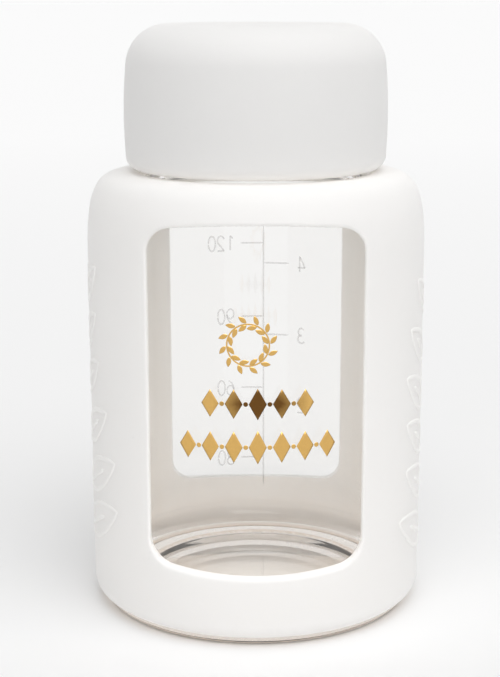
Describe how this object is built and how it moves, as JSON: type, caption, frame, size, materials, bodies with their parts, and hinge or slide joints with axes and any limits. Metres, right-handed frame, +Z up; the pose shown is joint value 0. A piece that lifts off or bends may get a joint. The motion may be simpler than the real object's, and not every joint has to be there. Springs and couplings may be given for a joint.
{
  "type": "breast milk storage bottle",
  "caption": "Squat clear glass bottle in a windowed silicone sleeve, closed by a rounded screw cap over a disc and gasket seal.",
  "frame": {"origin": "on the bottle's axis, at the surface that the glass foot stands on", "axes": "+Z up along the axis to the cap, front window towards -Y, +X to the right seen from the front"},
  "size_m": [0.06, 0.06, 0.1036],
  "materials": {
    "clear_glass": "clear, polished",
    "sleeve_silicone": "fine matt",
    "cap_plastic": "satin",
    "cap_silicone": "fine matt",
    "disc_plastic": "semi-gloss",
    "gasket_silicone": "translucent satin"
  },
  "bodies": {
    "bottle": {"glass_bottle": "clear_glass", "silicone_sleeve": "sleeve_silicone"},
    "gasket": {"seal_gasket": "gasket_silicone"},
    "disc": {"sealing_disc": "disc_plastic"},
    "cap": {"cap_shell": "cap_plastic", "cap_cover": "cap_silicone"}
  },
  "joints": [
    {"name": "cap_lift_off", "type": "slide", "parent": "bottle", "child": "gasket", "axis": [0, 0, 1], "range_m": [0, 0.04]},
    {"name": "cap_rise", "type": "slide", "parent": "gasket", "child": "disc", "axis": [0, 0, 1], "range_m": [0, 0.0044]},
    {"name": "cap_turn", "type": "hinge", "parent": "disc", "child": "cap", "pos_m": [0, 0, 0.089], "axis": [0, 0, 1], "range_deg": [0, 450]}
  ],
  "couplings": [
    {"joint": "cap_rise", "follows": "cap_turn", "m_per_rad": 0.00055704}
  ]
}
